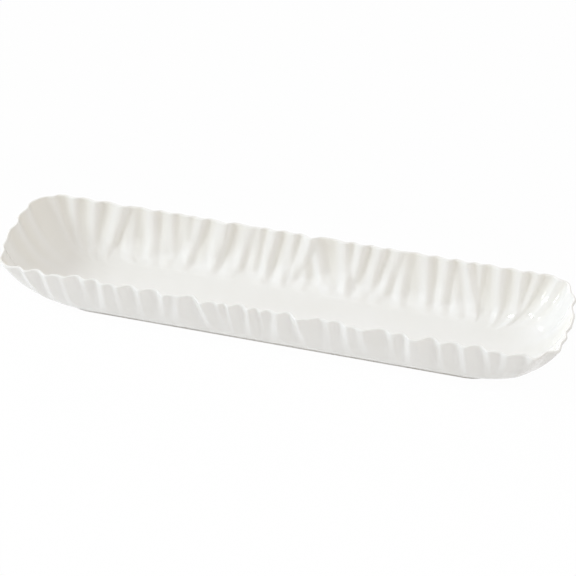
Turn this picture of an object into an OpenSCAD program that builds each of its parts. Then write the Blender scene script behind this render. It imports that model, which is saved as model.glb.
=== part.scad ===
// Cracker tray: one long, narrow piece of glazed porcelain. A flat floor rises into thin
// pleated walls that flare to a scalloped rim, and a low foot ring stands on the table.
// Millimetres, +Z up. The origin is on the table, under the middle of the tray.

/* [Overall size] */
// Length over the rim
tray_l = 380; // [340:1:420]
// Width over the rim
tray_w = 92; // [80:1:110]
// Height from the table to the top of the rim
tray_h = 40; // [30:1:50]
// Corner radius of the rim, seen from above
rim_corner_r = 26; // [20:1:36]

/* [Floor] */
// Length of the flat floor, over its round ends
floor_l = 290; // [250:1:310]
// Width of the flat floor
floor_w = 44; // [36:1:54]
// Thickness of the floor
floor_t = 3.5; // [3:0.1:6]
// How late the inside of the wall turns up from the floor: 1 is a straight slope
floor_curve = 3.4; // [2.5:0.1:4]

/* [Underside] */
// Length of the flat underside, over its round ends
base_l = 308; // [260:1:320]
// Width of the flat underside
base_w = 55; // [46:1:64]
// How late the outside of the wall turns up from the underside: 1 is a straight slope
base_curve = 2.2; // [1.8:0.1:3]

/* [Wall] */
// Thickness of the wall at the rim
wall_t = 2; // [1.6:0.1:4]
// How much of the rim's height is rounded over
lip_h = 1; // [0.6:0.1:2]

/* [Foot ring] */
// Height of the foot ring below the underside
foot_h = 4.5; // [2:0.1:6]
// Width of the band that stands on the table
foot_band = 4; // [3:0.1:8]
// Distance from the edge of the underside in to the foot ring
foot_inset = 0.5; // [0.2:0.1:4]

/* [Pleats] */
// Depth of a full pleat at the rim
pleat_depth = 5; // [2:0.1:6]
// Tilt of the folds at the rim, in degrees: inward folds rise
rim_tilt = 12; // [0:1:20]
// How soon the pleats fade down the outside: 1 is evenly
outer_fade = 1.8; // [1:0.1:3]
// How soon the pleats fade down the inside: 1 is evenly
inner_fade = 0.8; // [0.6:0.1:2]
// How much sooner they fade at the two ends
end_fade = 2; // [0:0.1:3]
// Steps round the rim
rim_steps = 400; // [240:8:400]
// Steps up each face of the wall
wall_steps = 5; // [3:1:5]

/* [Hidden] */

// Inward folds of each long side, from the tip of one end to the tip of the other: distance
// from the middle of the side at the rim, half way down and at the foot, reach to the -X and
// +X sides, and height at the rim and at the foot as a share of pleat_depth
back_folds = [
    [-220, -220, -220, 9, 8, 0.4, 0], [-202, -202, -202, 9, 8, 0.45, 0],
    [-176, -178, -180, 7, 4, 0.35, 0], [-160, -170, -178, 8, 6, 0.45, 0.1],
    [-144, -155, -168, 9, 6, 0.5, 0.3], [-125, -137, -148, 12, 7, 0.65, 0.6],
    [-117, -118, -113, 8, 5, 0.15, 0.75], [-104, -101, -100, 10, 6, 0.5, 0.7],
    [-91, -90, -90, 9, 6, 0.35, 0.7], [-79, -83, -85, 8, 5, 0.25, 0.1],
    [-69, -77, -78, 9, 6, 0.4, 0.7], [-52, -58, -61, 13, 6, 0.65, 0.8],
    [-36, -43, -46, 10, 6, 0.35, 0.7], [-29, -31, -33, 8, 5, 0.3, 0.1],
    [-18, -23, -24, 8, 6, 0.5, 0.7], [-5, -10, -10, 8, 5, 0.4, 0.7],
    [7, -4, -10, 10, 6, 0.55, 0.1], [5, 4, 5, 7, 5, 0, 0.6], [8, 19, 25, 8, 8, 0.4, 0.8],
    [30, 32, 34, 9, 6, 0.45, 0.7], [42, 36, 34, 8, 6, 0.55, 0.3], [55, 48, 44, 9, 6, 0.5, 0.5],
    [66, 58, 55, 8, 6, 0.35, 0.7], [72, 71, 72, 8, 6, 0.25, 0.8], [86, 88, 89, 9, 6, 0.4, 0.7],
    [100, 100, 101, 9, 5, 0.5, 0.6], [106, 110, 111, 7, 6, 0, 0.9],
    [113, 121, 123, 8, 5, 0.5, 0.7], [122, 121, 120, 6, 4, 0.3, 0],
    [135, 143, 155, 8, 6, 0.5, 0.5], [149, 160, 175, 8, 5, 0.5, 0.3],
    [160, 163, 169, 6, 4, 0.35, 0.1], [174, 176, 178, 6, 7, 0.35, 0.1],
    [193, 193, 193, 14, 12, 0.8, 0.1], [209, 209, 209, 14, 11, 0.6, 0]
];
front_folds = [
    [-206, -206, -206, 16, 14, 0.45, 0], [-195, -195, -195, 10, 10, 0.7, 0.1],
    [-168, -172, -174, 11, 7, 0.65, 0.3], [-155, -160, -165, 11, 8, 0.78, 0.4],
    [-141, -143, -144, 10, 7, 0.5, 0.3], [-128, -126, -122, 12, 8, 1, 0.5],
    [-116, -117, -118, 11, 8, 0.95, 0.5], [-104, -102, -99, 10, 6, 0.6, 0.3],
    [-91, -90, -88, 12, 8, 0.95, 0.6], [-75, -76, -77, 15, 8, 1, 0.7],
    [-63, -67, -69, 9, 7, 0.5, 0.4], [-50, -43, -38, 14, 8, 1, 0.6],
    [-35, -31, -28, 9, 5, 0.6, 0.3], [-28, -26, -25, 6, 4, 0.65, 0.2],
    [-17, -17, -16, 11, 8, 0.95, 0.6], [-7, -6, -5, 6, 5, 0.8, 0.2], [2, -1, -3, 9, 8, 0.84, 0.4],
    [14, 20, 25, 11, 8, 1, 0.6], [28, 30, 31, 9, 6, 0.4, 0.1], [35, 36, 36, 8, 8, 0.95, 0.6],
    [47, 49, 52, 12, 8, 1, 0.5], [58, 62, 66, 10, 7, 0.5, 0.4], [77, 79, 82, 17, 8, 1, 0.7],
    [89, 89, 90, 10, 6, 0.8, 0.5], [108, 110, 114, 10, 8, 1, 0.7],
    [123, 126, 130, 13, 8, 0.78, 0.5], [138, 147, 155, 13, 8, 1, 0.5],
    [151, 157, 162, 11, 7, 0.55, 0.3], [167, 171, 173, 14, 7, 0.75, 0.3],
    [185, 187, 188, 12, 9, 0.65, 0.2], [201, 201, 201, 10, 9, 0.45, 0],
    [213, 213, 213, 8, 7, 0.35, 0]
];

// Guide loops, to the outside of the pleats: half length, half width and corner radius
rim_loop = [tray_l / 2, tray_w / 2, rim_corner_r];
floor_loop = [floor_l / 2, floor_w / 2, floor_w / 2];
base_loop = [base_l / 2, base_w / 2, base_w / 2];

// Heights
floor_z = foot_h + floor_t;
edge_z = tray_h - lip_h - pleat_depth * sin(rim_tilt);
// How far the foot ring reaches up into the floor
foot_key = floor_t / 2;
// How soon the folds turn from upright at the floor to their tilt at the rim
tilt_curve = 1.5;

// All loops are straight for this far on each side of the middle
straight_run = min([for (loop = [rim_loop, floor_loop, base_loop]) loop[0] - loop[2]]);
// Distances along the rim from the tip of the +X end: to the straight run, to the other tip,
// all the way round, and to the middle of each long side
end_run = quarter_run(rim_loop);
half_loop = 2 * end_run + 2 * straight_run;
whole_loop = 2 * half_loop;
back_middle = half_loop / 2;
front_middle = half_loop + half_loop / 2;
// Distance from tip to tip that the fold lists are drawn for, and the size of a fold against it
fold_run = 449.68;
fold_scale = half_loop / fold_run;

// Length of a quarter of a loop, from its tip to the straight run
function quarter_run(loop) = loop[1] - loop[2] + PI / 2 * loop[2] + loop[0] - loop[2] - straight_run;

// Point at a distance along that quarter
function quarter_point(loop, along) =
    let (
        r = loop[2],
        turn_start = loop[1] - r,
        turn_end = turn_start + PI / 2 * r,
        a = quarter_angle(loop, along)
    )
    along < turn_start ? [loop[0], along] :
    along < turn_end ? [loop[0] - r + r * cos(a), turn_start + r * sin(a)] :
    [loop[0] - r - (along - turn_end), loop[1]];

// Outward direction there, in degrees
function quarter_angle(loop, along) = min(90, max(0, (along - loop[1] + loop[2]) / loop[2] * 180 / PI));

// Point of a loop that faces a place on the rim, so that pleats run square to the sides
function half_point(loop, place) =
    let (share = quarter_run(loop) / end_run)
    place < end_run ? quarter_point(loop, place * share) :
    place < end_run + 2 * straight_run ? [end_run + straight_run - place, loop[1]] :
    let (q = quarter_point(loop, (half_loop - place) * share)) [-q[0], q[1]];

function loop_point(loop, place) =
    place < half_loop ? half_point(loop, place) : -half_point(loop, place - half_loop);

// Outward direction of the rim at a place on it, in degrees
function rim_angle(place) =
    place >= half_loop ? rim_angle(place - half_loop) + 180 :
    place < half_loop / 2 ? quarter_angle(rim_loop, place) :
    180 - quarter_angle(rim_loop, half_loop - place);

// Middle of a fold and its height, at a share of the way from the floor to the rim
function fold_middle(f, share) =
    f[2] + (4 * f[1] - 3 * f[2] - f[0]) * share + 2 * (f[2] - 2 * f[1] + f[0]) * share * share;
function fold_height(f, share) = f[6] + (f[5] - f[6]) * share;

// Shortest distance between two places on the loop, in the fold lists' millimetres
function shortest(d) = d - 2 * fold_run * round(d / (2 * fold_run));

// Sum of one side's folds at a distance from its middle
function side_folds(folds, x, share) =
    sum_list([
        for (f = folds)
            let (
                away = shortest(x / fold_scale - fold_middle(f, share)),
                part = away / (away < 0 ? f[3] : f[4])
            )
            abs(part) < 1 ? fold_height(f, share) * pow(cos(90 * part), 2) : 0
    ]);

function sum_list(list) = [for (v = list) 1] * list;

// How far the folds push the wall in
function push_in(place, share, fade) =
    let (
        back = side_folds(back_folds, back_middle - place, share),
        front = side_folds(front_folds, place - front_middle, share)
    )
    pleat_depth * (back + front) * pow(share, fade + end_fade * pow(cos(rim_angle(place)), 2));

// Point of a face of the wall, between a low loop and the rim
function wall_point(low_loop, place, share, base_z, curve, inset, fade) =
    let (
        push = push_in(place, share, fade),
        tilt = rim_tilt + (90 - rim_tilt) * pow(1 - share, tilt_curve),
        low = loop_point(low_loop, place),
        high = loop_point(rim_loop, place),
        in = push * cos(tilt) + inset * share,
        plan = low + (high - low) * share - in * [cos(rim_angle(place)), sin(rim_angle(place))]
    )
    [plan[0], plan[1], base_z + (edge_z - base_z) * pow(share, curve) + push * sin(tilt)];

function rim_place(c) = whole_loop * c / rim_steps;

function outer_ring(share, inset, lift) = [
    for (c = [0:rim_steps - 1])
        wall_point(base_loop, rim_place(c), share, foot_h, base_curve, inset, outer_fade) + [0, 0, lift]
];
function inner_ring(share) = [
    for (c = [0:rim_steps - 1])
        wall_point(floor_loop, rim_place(c), share, floor_z, floor_curve, wall_t, inner_fade)
];

// Flat underside of the foot: a rectangle with two round ends
module round_ended(l, w) {
    square([l - w, w], center = true);
    for (side = [-1, 1])
        translate([side * (l - w) / 2, 0])
            circle(d = w);
}

module foot_ring() {
    outer_l = base_l - 2 * foot_inset;
    outer_w = base_w - 2 * foot_inset;
    linear_extrude(foot_h + foot_key)
        difference() {
            round_ended(outer_l, outer_w);
            round_ended(outer_l - 2 * foot_band, outer_w - 2 * foot_band);
        }
}

// Skin of the bowl: up the outside, over the lip, down the inside, and the two flat faces
module bowl() {
    rings = concat(
        [for (s = [0:wall_steps]) outer_ring(s / wall_steps, 0, 0)],
        [outer_ring(1, wall_t / 2, lip_h)],
        [for (s = [wall_steps:-1:0]) inner_ring(s / wall_steps)]
    );
    last = len(rings) - 1;
    points = [for (ring = rings) each ring];
    function at(ring, c) = ring * rim_steps + c % rim_steps;
    sides = [
        for (ring = [0:last - 1], c = [0:rim_steps - 1], half = [0, 1])
            half == 0
                ? [at(ring, c), at(ring + 1, c), at(ring + 1, c + 1)]
                : [at(ring, c), at(ring + 1, c + 1), at(ring, c + 1)]
    ];
    underside = [for (c = [0:rim_steps - 1]) at(0, c)];
    floor_face = [for (c = [0:rim_steps - 1]) at(last, rim_steps - c)];
    polyhedron(points, concat(sides, [underside, floor_face]), convexity = 6);
}

module tray_body() {
    color([0.95, 0.94, 0.92])
        union() {
            bowl();
            foot_ring();
        }
}

tray_body();
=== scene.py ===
"""Cracker tray in glazed porcelain: pleated walls with a scalloped rim, on a low foot ring."""
import math

import bmesh
import bpy
import numpy as np
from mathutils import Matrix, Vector


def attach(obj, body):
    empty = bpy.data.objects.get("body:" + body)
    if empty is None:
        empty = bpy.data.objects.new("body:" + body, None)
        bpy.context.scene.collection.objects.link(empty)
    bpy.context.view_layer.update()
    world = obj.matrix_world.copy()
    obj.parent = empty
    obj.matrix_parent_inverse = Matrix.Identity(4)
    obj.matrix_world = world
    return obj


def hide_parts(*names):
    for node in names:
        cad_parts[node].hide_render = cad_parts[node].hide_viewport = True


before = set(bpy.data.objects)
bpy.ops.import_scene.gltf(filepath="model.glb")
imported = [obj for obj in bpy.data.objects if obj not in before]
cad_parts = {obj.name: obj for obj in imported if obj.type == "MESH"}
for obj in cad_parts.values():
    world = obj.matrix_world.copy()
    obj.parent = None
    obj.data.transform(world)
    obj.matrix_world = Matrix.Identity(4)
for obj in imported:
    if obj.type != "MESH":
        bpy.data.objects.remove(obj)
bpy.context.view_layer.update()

NODE = "tray_body"
MM = 0.001
TINY = 1e-9

# Overall sizes, in millimetres as in the part's source
TRAY_L = 380
TRAY_W = 92
TRAY_H = 40
RIM_CORNER_R = 26
FLOOR_L = 290
FLOOR_W = 44
FLOOR_T = 3.5
FLOOR_CURVE = 3.4
WALL_T = 2
LIP_H = 1
BASE_L = 308
BASE_W = 55
BASE_CURVE = 2.2
FOOT_H = 4.5
FOOT_BAND = 4
FOOT_INSET = 0.5
# Radius and steps, in degrees, of the foot's rounded edges, and the flat strip kept beside them
FOOT_ROUND = 0.5
FOOT_ANGLES = (0, 22.5, 45, 67.5, 90)
FOOT_STRIP = 0.5

# Pleats
PLEAT_DEPTH = 5
RIM_TILT = 12
TILT_CURVE = 1.5
OUTER_FADE = 1.8
INNER_FADE = 0.8
END_FADE = 2
# Height of a fold, as a share of the pleats' depth, from which no shade is painted on it
PAINTED_SHADE_TOP = 0.5

# Sag of the lower wall above the foot: depth that a full fold adds, the share of it that is there
# without a fold, and the factor that brings the top of its window up the wall to 1
BELLY_SAG = 0.8
BELLY_EVEN = 0.35
BELLY_PEAK = 9.5

# Soft lumps inside the long walls: depth, waves round the rim and up the wall with their start,
# the factor that brings the top of their window up the wall to 1, the distance from the middle of
# the tray at which they end, and the length over which they fade
LUMP_DEPTH = 0.6
LUMP_WAVES = [(39, 0.8, 0.2), (59, -1.1, 0.6), (27, 1.7, 0.35)]
LUMP_PEAK = 29
LUMP_END = 150
LUMP_TAPER = 40

# Fine flutes inside the back of the +X end: depth, pitch, middle and reach along the rim
FLUTE_DEPTH = 0.1
FLUTE_PITCH = 4.5
FLUTE_MIDDLE = 45
FLUTE_REACH = 16

# Inward folds of each long side, from the tip of one end to the tip of the other: distance from
# the middle of the side along the rim, half way down and at the foot, reach to the -X and +X
# sides, and height at the rim and at the foot as a share of the pleats' depth
BACK_FOLDS = [
    (-220, -220, -220, 9, 8, 0.4, 0), (-202, -202, -202, 9, 8, 0.45, 0),
    (-176, -178, -180, 7, 4, 0.35, 0), (-160, -170, -178, 8, 6, 0.45, 0.1),
    (-144, -155, -168, 9, 6, 0.5, 0.3), (-125, -137, -148, 12, 7, 0.65, 0.6),
    (-117, -118, -113, 8, 5, 0.15, 0.75), (-104, -101, -100, 10, 6, 0.5, 0.7),
    (-91, -90, -90, 9, 6, 0.35, 0.7), (-79, -83, -85, 8, 5, 0.25, 0.1),
    (-69, -77, -78, 9, 6, 0.4, 0.7), (-52, -58, -61, 13, 6, 0.65, 0.8),
    (-36, -43, -46, 10, 6, 0.35, 0.7), (-29, -31, -33, 8, 5, 0.3, 0.1),
    (-18, -23, -24, 8, 6, 0.5, 0.7), (-5, -10, -10, 8, 5, 0.4, 0.7),
    (7, -4, -10, 10, 6, 0.55, 0.1), (5, 4, 5, 7, 5, 0, 0.6), (8, 19, 25, 8, 8, 0.4, 0.8),
    (30, 32, 34, 9, 6, 0.45, 0.7), (42, 36, 34, 8, 6, 0.55, 0.3), (55, 48, 44, 9, 6, 0.5, 0.5),
    (66, 58, 55, 8, 6, 0.35, 0.7), (72, 71, 72, 8, 6, 0.25, 0.8), (86, 88, 89, 9, 6, 0.4, 0.7),
    (100, 100, 101, 9, 5, 0.5, 0.6), (106, 110, 111, 7, 6, 0, 0.9),
    (113, 121, 123, 8, 5, 0.5, 0.7), (122, 121, 120, 6, 4, 0.3, 0),
    (135, 143, 155, 8, 6, 0.5, 0.5), (149, 160, 175, 8, 5, 0.5, 0.3),
    (160, 163, 169, 6, 4, 0.35, 0.1), (174, 176, 178, 6, 7, 0.35, 0.1),
    (193, 193, 193, 14, 12, 0.8, 0.1), (209, 209, 209, 14, 11, 0.6, 0)
]
FRONT_FOLDS = [
    (-206, -206, -206, 16, 14, 0.45, 0), (-195, -195, -195, 10, 10, 0.7, 0.1),
    (-168, -172, -174, 11, 7, 0.65, 0.3), (-155, -160, -165, 11, 8, 0.78, 0.4),
    (-141, -143, -144, 10, 7, 0.5, 0.3), (-128, -126, -122, 12, 8, 1, 0.5),
    (-116, -117, -118, 11, 8, 0.95, 0.5), (-104, -102, -99, 10, 6, 0.6, 0.3),
    (-91, -90, -88, 12, 8, 0.95, 0.6), (-75, -76, -77, 15, 8, 1, 0.7),
    (-63, -67, -69, 9, 7, 0.5, 0.4), (-50, -43, -38, 14, 8, 1, 0.6),
    (-35, -31, -28, 9, 5, 0.6, 0.3), (-28, -26, -25, 6, 4, 0.65, 0.2),
    (-17, -17, -16, 11, 8, 0.95, 0.6), (-7, -6, -5, 6, 5, 0.8, 0.2), (2, -1, -3, 9, 8, 0.84, 0.4),
    (14, 20, 25, 11, 8, 1, 0.6), (28, 30, 31, 9, 6, 0.4, 0.1), (35, 36, 36, 8, 8, 0.95, 0.6),
    (47, 49, 52, 12, 8, 1, 0.5), (58, 62, 66, 10, 7, 0.5, 0.4), (77, 79, 82, 17, 8, 1, 0.7),
    (89, 89, 90, 10, 6, 0.8, 0.5), (108, 110, 114, 10, 8, 1, 0.7),
    (123, 126, 130, 13, 8, 0.78, 0.5), (138, 147, 155, 13, 8, 1, 0.5),
    (151, 157, 162, 11, 7, 0.55, 0.3), (167, 171, 173, 14, 7, 0.75, 0.3),
    (185, 187, 188, 12, 9, 0.65, 0.2), (201, 201, 201, 10, 9, 0.45, 0),
    (213, 213, 213, 8, 7, 0.35, 0)
]

# Steps of the mesh, and the distance within which points join along the middle of the tray
COLUMNS = 1200
WALL_STEPS = 48
LIP_STEPS = 10
FLAT_STEPS = 8
JOIN_DISTANCE = 0.01

# Glaze and bare clay: colours, the range of the noise that mixes them, and roughness
GLAZE_DEEP = (0.885, 0.878, 0.85)
GLAZE_PALE = (0.905, 0.9, 0.878)
# Painted shade: a darker, warmer glaze colour for the hollows between the folds
GLAZE_PAINTED_SHADE = (0.86, 0.845, 0.795)
GLAZE_RANGE = (0.3, 0.7)
GLAZE_ROUGHNESS = (0.08, 0.16)
BISCUIT_DEEP = (0.8, 0.785, 0.75)
BISCUIT_PALE = (0.88, 0.87, 0.84)
BISCUIT_RANGE = (0.35, 0.65)
BISCUIT_ROUGHNESS = 0.8
# How hollow the wall is where the painted shade begins to show, and where it is full
PAINTED_SHADE_RANGE = (0.2, 1)

# Stage: the floor's own tone in front of the tray and elsewhere, the patch in front, the range of
# its fade, and the share of plain white where the floor is seen directly
STAGE_SIZE = 8
STAGE_FRONT = (0.92, 0.92, 0.92)
STAGE_AWAY = (0.55, 0.55, 0.55)
STAGE_ROUGHNESS = 0.9
PATCH_SHIFT = (0, 0.6, 0)
PATCH_SCALE = (2.2, 3, 1)
PATCH_RANGE = (0, 0.5)
STAGE_WHITENESS = 0.98

# Light from all round, where it isn't seen directly
WHITE = (1, 1, 1)
WORLD_TINT = (1, 0.97, 0.935)
WORLD_LEVEL = 0.635

# Soft boxes, which the glaze doesn't mirror: name, place, width, power and colour, and for the one
# that lights only the +X end also its target and its spread in degrees
SOFT_BOXES = [
    ("key_soft_box", (-2.5, -0.68, 1.5), 0.9, 35, (0.84, 0.93, 1)),
    ("low_soft_box", (-2.94, 0, 0.63), 1.35, 12.5, (0.75, 0.82, 1)),
    ("front_soft_box", (0.81, -0.81, 1.64), 0.9, 5.2, WHITE),
    ("rear_soft_box", (-0.83, 1.77, 0.42), 0.9, 18, (1, 0.96, 0.96)),
    ("side_soft_box", (1.93, -0.34, 0.42), 0.9, 1.8, (1, 0.92, 0.92)),
    ("cool_soft_box", (-0.7, 0, 0.52), 0.1, 0.0012, (0.4, 0.5, 1), (0.17, 0, 0.02), 14)
]

# Highlights inside the +X end: name, point on the glaze, and the azimuth, elevation, distance and
# power of the lamp; then every such lamp's width as a share of its distance, and its spread
GLINTS = [
    ("floor_glint", (0.147, 0.03, 0.011), 268, 46, 0.12, 0.0006),
    ("end_glint", (0.167, 0.021, 0.013), 242, 34, 0.12, 0.00004),
    ("crest_glint", (0.1645, 0.037, 0.022), 277, 12, 0.25, 0.0003),
    ("flute_glint", (0.1735, 0.036, 0.026), 303, 13, 0.12, 0.0002)
]
GLINT_WIDTH = 0.12
GLINT_SPREAD = 14

# Camera: the middle of the tray's base lies at this pixel of a square picture
PICTURE_SIZE = 576
BASE_PIXEL = (284.1, 320.0)
VIEW_AZIMUTH = 15.77
VIEW_ELEVATION = 38
VIEW_DISTANCE = 1.496
PIXELS_PER_MM = 1.514
SENSOR_WIDTH = 36

# Guide loops, to the outside of the pleats: half length, half width and corner radius
RIM = (TRAY_L / 2, TRAY_W / 2, RIM_CORNER_R)
FLOOR = (FLOOR_L / 2, FLOOR_W / 2, FLOOR_W / 2)
BASE = (BASE_L / 2, BASE_W / 2, BASE_W / 2)
FLOOR_Z = FOOT_H + FLOOR_T
EDGE_Z = TRAY_H - LIP_H - PLEAT_DEPTH * math.sin(math.radians(RIM_TILT))
STRAIGHT_RUN = min(half_x - r for half_x, _, r in (RIM, FLOOR, BASE))


def quarter_run(half_x, half_y, r):
    """Length of a quarter of a rounded rectangle, from its tip to the straight run."""
    return half_y - r + math.pi / 2 * r + half_x - r - STRAIGHT_RUN


END_RUN = quarter_run(*RIM)
HALF_LOOP = 2 * END_RUN + 2 * STRAIGHT_RUN
WHOLE_LOOP = 2 * HALF_LOOP
# Distances round the rim, from the tip of the +X end
PLACE = WHOLE_LOOP * np.arange(COLUMNS) / COLUMNS
BACK_MIDDLE = HALF_LOOP / 2
FRONT_MIDDLE = HALF_LOOP + HALF_LOOP / 2


def quarter_points(half_x, half_y, r, along):
    """Points and outward directions at distances along a quarter of a rounded rectangle."""
    turn_start = half_y - r
    turn_end = turn_start + math.pi / 2 * r
    angle = np.clip((along - turn_start) / max(r, TINY), 0, math.pi / 2)
    x = half_x - r + r * np.cos(angle) - np.maximum(along - turn_end, 0)
    y = np.where(along < turn_start, along, half_y - r + r * np.sin(angle))
    return x, y, angle


def loop_points(loop, place):
    """Points of a loop that face places on the rim, and the outward directions there."""
    second = place >= HALF_LOOP
    place = np.where(second, place - HALF_LOOP, place)
    share = quarter_run(*loop) / END_RUN
    ahead = quarter_points(*loop, np.minimum(place, END_RUN) * share)
    behind = quarter_points(*loop, np.minimum(HALF_LOOP - place, END_RUN) * share)
    in_ahead = place < END_RUN
    in_straight = place < END_RUN + 2 * STRAIGHT_RUN
    straight_x = END_RUN + STRAIGHT_RUN - place
    x = np.where(in_ahead, ahead[0], np.where(in_straight, straight_x, -behind[0]))
    y = np.where(in_ahead, ahead[1], np.where(in_straight, loop[1], behind[1]))
    last_angle = np.where(in_straight, math.pi / 2, math.pi - behind[2])
    angle = np.where(in_ahead, ahead[2], last_angle)
    sign = np.where(second, -1, 1)
    return x * sign, y * sign, np.where(second, angle + math.pi, angle)


def side_folds(middle, direction, folds, share):
    """Height of one side's folds round the whole loop, at a share of the way up the wall."""
    height = np.zeros(COLUMNS)
    for rim, half, foot, reach_back, reach_on, rim_height, foot_height in folds:
        # The parabola through the fold's three places
        x = foot + (4 * half - 3 * foot - rim) * share + 2 * (foot - 2 * half + rim) * share ** 2
        away = direction * (PLACE - middle) - x
        away = np.mod(away + HALF_LOOP, WHOLE_LOOP) - HALF_LOOP
        part = np.clip(away / np.where(away < 0, reach_back, reach_on), -1, 1)
        crest = foot_height + (rim_height - foot_height) * share
        height += crest * np.cos(math.pi / 2 * part) ** 2
    return height


def fold_height(share):
    """Height of all the folds round the whole loop, at a share of the way up the wall."""
    back = side_folds(BACK_MIDDLE, -1, BACK_FOLDS, share)
    return back + side_folds(FRONT_MIDDLE, 1, FRONT_FOLDS, share)


def wall_row(loop, share, base_z, curve, inset, fade):
    """One level line of a face of the wall, and how hollow it is between the inward folds."""
    low_x, low_y, _ = loop_points(loop, PLACE)
    high_x, high_y, direction = loop_points(RIM, PLACE)
    height = fold_height(share)
    push = -PLEAT_DEPTH * height * share ** (fade + END_FADE * np.cos(direction) ** 2)
    tilt = math.radians(RIM_TILT + (90 - RIM_TILT) * (1 - share) ** TILT_CURVE)
    out = push * math.cos(tilt) - inset * share
    x = low_x + (high_x - low_x) * share + out * np.cos(direction)
    y = low_y + (high_y - low_y) * share + out * np.sin(direction)
    z = base_z + (EDGE_Z - base_z) * share ** curve - push * math.sin(tilt)
    # How hollow the wall is, which sets where the glaze gets painted shade
    return np.column_stack([x, y, z]), share * np.clip(1 - height / PAINTED_SHADE_TOP, 0, 1)


def outer_row(share, inset):
    """One level line of the outside, which sags low down, most where a fold runs out."""
    points, _ = wall_row(BASE, share, FOOT_H, BASE_CURVE, inset, OUTER_FADE)
    window = BELLY_PEAK * share * (1 - share) ** 3
    points[:, 2] -= BELLY_SAG * (BELLY_EVEN + fold_height(share)) * window
    return points


def inner_row(share):
    """One level line of the inside with its lumps and flutes, and how hollow it is."""
    points, hollow = wall_row(FLOOR, share, FLOOR_Z, FLOOR_CURVE, WALL_T, INNER_FADE)
    _, _, direction = loop_points(RIM, PLACE)
    first, second, third = [
        np.sin(2 * math.pi * (waves * PLACE / WHOLE_LOOP + up * share + start))
        for waves, up, start in LUMP_WAVES
    ]
    lumps = LUMP_DEPTH * (first * second + third / 2) * np.sin(direction) ** 2
    lump_window = LUMP_PEAK * share ** 3 * (1 - share) ** 2
    lumps *= lump_window * np.clip((LUMP_END - np.abs(points[:, 0])) / LUMP_TAPER, 0, 1)
    away = PLACE - FLUTE_MIDDLE
    flute_window = np.exp(-(away / FLUTE_REACH) ** 2) * share ** 2
    flutes = FLUTE_DEPTH * flute_window * np.sin(2 * math.pi * away / FLUTE_PITCH)
    points[:, 0] -= (flutes + lumps) * np.cos(direction)
    points[:, 1] -= (flutes + lumps) * np.sin(direction)
    points[:, 2] += lumps / 2
    return points, hollow


def flat_row(loop, inset, z):
    """One level line inside the edge of the floor or of the base, which has no hollows."""
    half_x, half_y, r = loop
    x, y, _ = loop_points((half_x - inset, half_y - inset, r - inset), PLACE)
    return np.column_stack([x, y, np.full(COLUMNS, z)]), np.zeros(COLUMNS)


def foot_section():
    """Insets and heights across the foot ring, from its inner side over the band and out."""
    r = FOOT_ROUND
    inner = FOOT_INSET + FOOT_BAND
    steps = [math.radians(a) for a in FOOT_ANGLES]
    section = [(inner + r - r * math.sin(a), FOOT_H - r + r * math.cos(a)) for a in steps]
    section += [(inner - r + r * math.cos(a), r - r * math.sin(a)) for a in steps]
    section += [(inner - r - FOOT_STRIP, 0), (FOOT_INSET + r + FOOT_STRIP, 0)]
    section += [(FOOT_INSET + r - r * math.sin(a), r - r * math.cos(a)) for a in steps]
    section += [(FOOT_INSET - r + r * math.cos(a), FOOT_H - r + r * math.sin(a)) for a in steps]
    return section


def tray_rows():
    """Every level line of the skin, from the middle of the underside to the middle of the floor."""
    inner = FOOT_INSET + FOOT_BAND + FOOT_ROUND + FOOT_STRIP
    rows = [flat_row(BASE, i, FOOT_H) for i in np.linspace(BASE[2], inner, FLAT_STEPS)]
    rows += [flat_row(BASE, i, z) for i, z in foot_section()]
    # The foot's last line is the outside's first one
    for step in range(1, WALL_STEPS + 1):
        rows.append((outer_row(step / WALL_STEPS, 0), np.zeros(COLUMNS)))
    _, rim_hollow = inner_row(1)
    for step in range(1, LIP_STEPS):
        angle = math.pi * step / LIP_STEPS
        points = outer_row(1, WALL_T / 2 * (1 - math.cos(angle)))
        points[:, 2] += LIP_H * math.sin(angle)
        # The painted shade of the rim's inside fades in over the lip from the outside
        rows.append((points, rim_hollow * (1 - math.cos(angle)) / 2))
    rows += [inner_row(step / WALL_STEPS) for step in range(WALL_STEPS, -1, -1)]
    rows += [flat_row(FLOOR, i, FLOOR_Z) for i in np.linspace(0, FLOOR[2], FLAT_STEPS)[1:]]
    return rows


def make_tray(glaze, biscuit):
    """The whole tray as one closed skin, with the hollows of its pleats stored for the glaze's
    painted shade.
    """
    rows = tray_rows()
    points = np.vstack([row for row, _ in rows]) * MM
    hollow = np.concatenate([hollow for _, hollow in rows])
    ring = np.arange(COLUMNS)
    first = (np.arange(len(rows) - 1) * COLUMNS)[:, None]
    quads = np.stack([first + ring, first + (ring + 1) % COLUMNS,
                      first + COLUMNS + (ring + 1) % COLUMNS, first + COLUMNS + ring], axis=-1)
    mesh = bpy.data.meshes.new("porcelain_tray")
    mesh.from_pydata(points.tolist(), [], quads.reshape(-1, 4).tolist())
    mesh.attributes.new("hollow", "FLOAT", "POINT").data.foreach_set("value", hollow)
    mesh.materials.append(glaze)
    mesh.materials.append(biscuit)
    row_tops = points[:, 2].reshape(len(rows), -1).max(1)
    on_table = np.repeat(row_tops[:-1] < FOOT_ROUND * MM, COLUMNS)
    mesh.polygons.foreach_set("material_index", on_table.astype(np.int32))
    mesh.polygons.foreach_set("use_smooth", np.ones(len(mesh.polygons), bool))
    close_middles(mesh, len(points))
    tray = bpy.data.objects.new("porcelain_tray", mesh)
    bpy.context.scene.collection.objects.link(tray)
    return tray


def close_middles(mesh, count):
    """Joins the two sides of the first and last level lines along the middle of the tray."""
    work = bmesh.new()
    work.from_mesh(mesh)
    work.verts.ensure_lookup_table()
    ends = [work.verts[i] for i in [*range(COLUMNS), *range(count - COLUMNS, count)]]
    bmesh.ops.remove_doubles(work, verts=ends, dist=JOIN_DISTANCE * MM)
    work.to_mesh(mesh)
    work.free()


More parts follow.
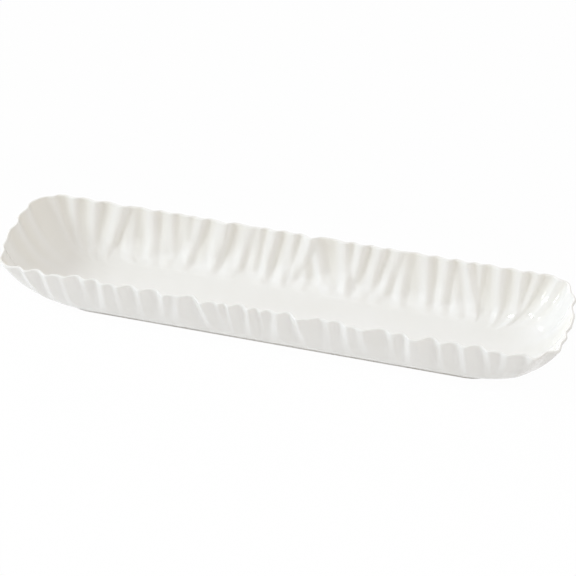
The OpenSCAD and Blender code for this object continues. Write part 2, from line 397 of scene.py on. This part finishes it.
def new_material(name):
    """A new node material, its node tree and the shader that is linked to its output."""
    material = bpy.data.materials.new(name)
    material.use_nodes = True
    tree = material.node_tree
    return material, tree, tree.nodes["Principled BSDF"]


def noise(tree, coordinates, scale, detail):
    """Noise over the piece's own coordinates."""
    node = tree.nodes.new("ShaderNodeTexNoise")
    node.inputs["Scale"].default_value = scale
    node.inputs["Detail"].default_value = detail
    tree.links.new(coordinates.outputs["Object"], node.inputs["Vector"])
    return node.outputs["Fac"]


def map_range(tree, source, from_range, to_range=(0, 1)):
    """A socket's value, moved from one range to another and kept within it."""
    node = tree.nodes.new("ShaderNodeMapRange")
    node.inputs["From Min"].default_value = from_range[0]
    node.inputs["From Max"].default_value = from_range[1]
    node.inputs["To Min"].default_value = to_range[0]
    node.inputs["To Max"].default_value = to_range[1]
    tree.links.new(source, node.inputs["Value"])
    return node.outputs["Result"]


def mix_colour(tree, factor, first, second):
    """Mixes two colours, each a socket or a written colour."""
    node = tree.nodes.new("ShaderNodeMix")
    node.data_type = "RGBA"
    tree.links.new(factor, node.inputs["Factor"])
    # The node's colour sockets are the seventh and eighth, and the third output
    for socket, colour in ((node.inputs[6], first), (node.inputs[7], second)):
        if isinstance(colour, tuple):
            socket.default_value = (*colour, 1)
        else:
            tree.links.new(colour, socket)
    return node.outputs[2]


def add_bump(tree, shader, height, strength, distance):
    """Roughens a shader's surface by a height, over a distance in metres."""
    bump = tree.nodes.new("ShaderNodeBump")
    bump.inputs["Strength"].default_value = strength
    bump.inputs["Distance"].default_value = distance
    tree.links.new(height, bump.inputs["Height"])
    tree.links.new(bump.outputs["Normal"], shader.inputs["Normal"])


def make_glaze():
    """Glossy warm white glaze with painted shade, darker and warmer in the hollows between the
    folds; faintly wavy.
    """
    material, tree, shader = new_material("glazed_porcelain")
    coordinates = tree.nodes.new("ShaderNodeTexCoord")
    hollow = tree.nodes.new("ShaderNodeAttribute")
    hollow.attribute_name = "hollow"
    # Painted shade: the hollows between the folds get a darker, warmer colour
    painted_shade = map_range(tree, hollow.outputs["Fac"], PAINTED_SHADE_RANGE)
    clouds = noise(tree, coordinates, scale=30, detail=3)
    drift = map_range(tree, clouds, GLAZE_RANGE)
    body = mix_colour(tree, drift, GLAZE_DEEP, GLAZE_PALE)
    colour = mix_colour(tree, painted_shade, body, GLAZE_PAINTED_SHADE)
    tree.links.new(colour, shader.inputs["Base Color"])
    gloss = noise(tree, coordinates, scale=90, detail=2)
    roughness = map_range(tree, gloss, GLAZE_RANGE, GLAZE_ROUGHNESS)
    tree.links.new(roughness, shader.inputs["Roughness"])
    waves = noise(tree, coordinates, scale=140, detail=1)
    add_bump(tree, shader, waves, strength=0.15, distance=0.0006)
    return material


def make_biscuit():
    """Bare fired clay on the foot, where the glaze was wiped off: matt and finely grained."""
    material, tree, shader = new_material("bare_biscuit")
    coordinates = tree.nodes.new("ShaderNodeTexCoord")
    grain = noise(tree, coordinates, scale=900, detail=4)
    tone = map_range(tree, grain, BISCUIT_RANGE)
    clay = mix_colour(tree, tone, BISCUIT_DEEP, BISCUIT_PALE)
    tree.links.new(clay, shader.inputs["Base Color"])
    shader.inputs["Roughness"].default_value = BISCUIT_ROUGHNESS
    add_bump(tree, shader, grain, strength=0.3, distance=0.0002)
    return material


def seen_directly(tree):
    """1 for rays from the camera and for mirrored or refracted ones, 0 for the rest."""
    path = tree.nodes.new("ShaderNodeLightPath")
    seen = path.outputs["Is Camera Ray"]
    for other in ("Is Glossy Ray", "Is Transmission Ray"):
        either = tree.nodes.new("ShaderNodeMath")
        either.operation = "MAXIMUM"
        tree.links.new(seen, either.inputs[0])
        tree.links.new(path.outputs[other], either.inputs[1])
        seen = either.outputs[0]
    return seen


def make_floor():
    """A wide floor that looks plain white, takes a soft shadow and returns most light in front."""
    bpy.ops.mesh.primitive_plane_add(size=STAGE_SIZE)
    floor = bpy.context.object
    floor.name = "floor"
    material, tree, shader = new_material("white_floor")
    coordinates = tree.nodes.new("ShaderNodeTexCoord")
    patch = tree.nodes.new("ShaderNodeMapping")
    patch.inputs["Location"].default_value = PATCH_SHIFT
    patch.inputs["Scale"].default_value = PATCH_SCALE
    tree.links.new(coordinates.outputs["Object"], patch.inputs["Vector"])
    front = tree.nodes.new("ShaderNodeTexGradient")
    front.gradient_type = "SPHERICAL"
    tree.links.new(patch.outputs["Vector"], front.inputs["Vector"])
    near = map_range(tree, front.outputs["Fac"], PATCH_RANGE)
    tone = mix_colour(tree, near, STAGE_AWAY, STAGE_FRONT)
    tree.links.new(tone, shader.inputs["Base Color"])
    shader.inputs["Roughness"].default_value = STAGE_ROUGHNESS
    shader.inputs["Specular IOR Level"].default_value = 0
    glow = tree.nodes.new("ShaderNodeEmission")
    mixer = tree.nodes.new("ShaderNodeMixShader")
    whiteness = map_range(tree, seen_directly(tree), (0, 1), (0, STAGE_WHITENESS))
    tree.links.new(whiteness, mixer.inputs["Fac"])
    tree.links.new(shader.outputs["BSDF"], mixer.inputs[1])
    tree.links.new(glow.outputs["Emission"], mixer.inputs[2])
    tree.links.new(mixer.outputs["Shader"], tree.nodes["Material Output"].inputs["Surface"])
    floor.data.materials.append(material)


def make_world():
    """Even soft light from all round; white where it is seen directly."""
    world = bpy.data.worlds.new("studio")
    bpy.context.scene.world = world
    world.use_nodes = True
    tree = world.node_tree
    background = tree.nodes["Background"]
    seen = seen_directly(tree)
    tint = mix_colour(tree, seen, WORLD_TINT, WHITE)
    tree.links.new(tint, background.inputs["Color"])
    strength = map_range(tree, seen, (0, 1), (WORLD_LEVEL, 1))
    tree.links.new(strength, background.inputs["Strength"])


def heading(azimuth, elevation):
    """The direction at an azimuth, counted from the front, and an elevation, both in degrees."""
    azimuth, elevation = math.radians(azimuth), math.radians(elevation)
    return Vector((math.sin(azimuth) * math.cos(elevation),
                   -math.cos(azimuth) * math.cos(elevation), math.sin(elevation)))


def make_lamp(name, place, size, power, colour, target=(0, 0, 0), spread=180):
    """A square soft box that faces a target, with its light kept within a spread in degrees."""
    data = bpy.data.lights.new(name, "AREA")
    data.shape = "SQUARE"
    data.size = size
    data.energy = power
    data.spread = math.radians(spread)
    data.color = colour
    lamp = bpy.data.objects.new(name, data)
    lamp.location = place
    lamp.rotation_euler = (Vector(place) - Vector(target)).to_track_quat("Z", "Y").to_euler()
    bpy.context.scene.collection.objects.link(lamp)
    return lamp


def make_glint(name, point, azimuth, elevation, distance, power):
    """A small lamp near the tray that shows only as a highlight at a point of the glaze."""
    target = Vector(point)
    place = target + distance * heading(azimuth, elevation)
    lamp = make_lamp(name, place, GLINT_WIDTH * distance, power, WHITE, target, GLINT_SPREAD)
    lamp.visible_camera = False
    lamp.visible_diffuse = False


def make_camera():
    """The photograph's view: turned to the right of the front, looking down."""
    back = heading(VIEW_AZIMUTH, VIEW_ELEVATION)
    data = bpy.data.cameras.new("camera")
    data.sensor_width = SENSOR_WIDTH
    data.lens = SENSOR_WIDTH * PIXELS_PER_MM * VIEW_DISTANCE / MM / PICTURE_SIZE
    data.shift_x = (PICTURE_SIZE / 2 - BASE_PIXEL[0]) / PICTURE_SIZE
    data.shift_y = (BASE_PIXEL[1] - PICTURE_SIZE / 2) / PICTURE_SIZE
    camera = bpy.data.objects.new("camera", data)
    camera.location = back * VIEW_DISTANCE
    camera.rotation_euler = back.to_track_quat("Z", "Y").to_euler()
    bpy.context.scene.collection.objects.link(camera)
    bpy.context.scene.camera = camera


make_camera()
tray = make_tray(make_glaze(), make_biscuit())
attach(tray, "root")
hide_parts(NODE)
make_floor()
make_world()
for soft_box in SOFT_BOXES:
    lamp = make_lamp(*soft_box)
    lamp.visible_glossy = False
for glint in GLINTS:
    make_glint(*glint)
bpy.context.scene.view_settings.view_transform = "Standard"
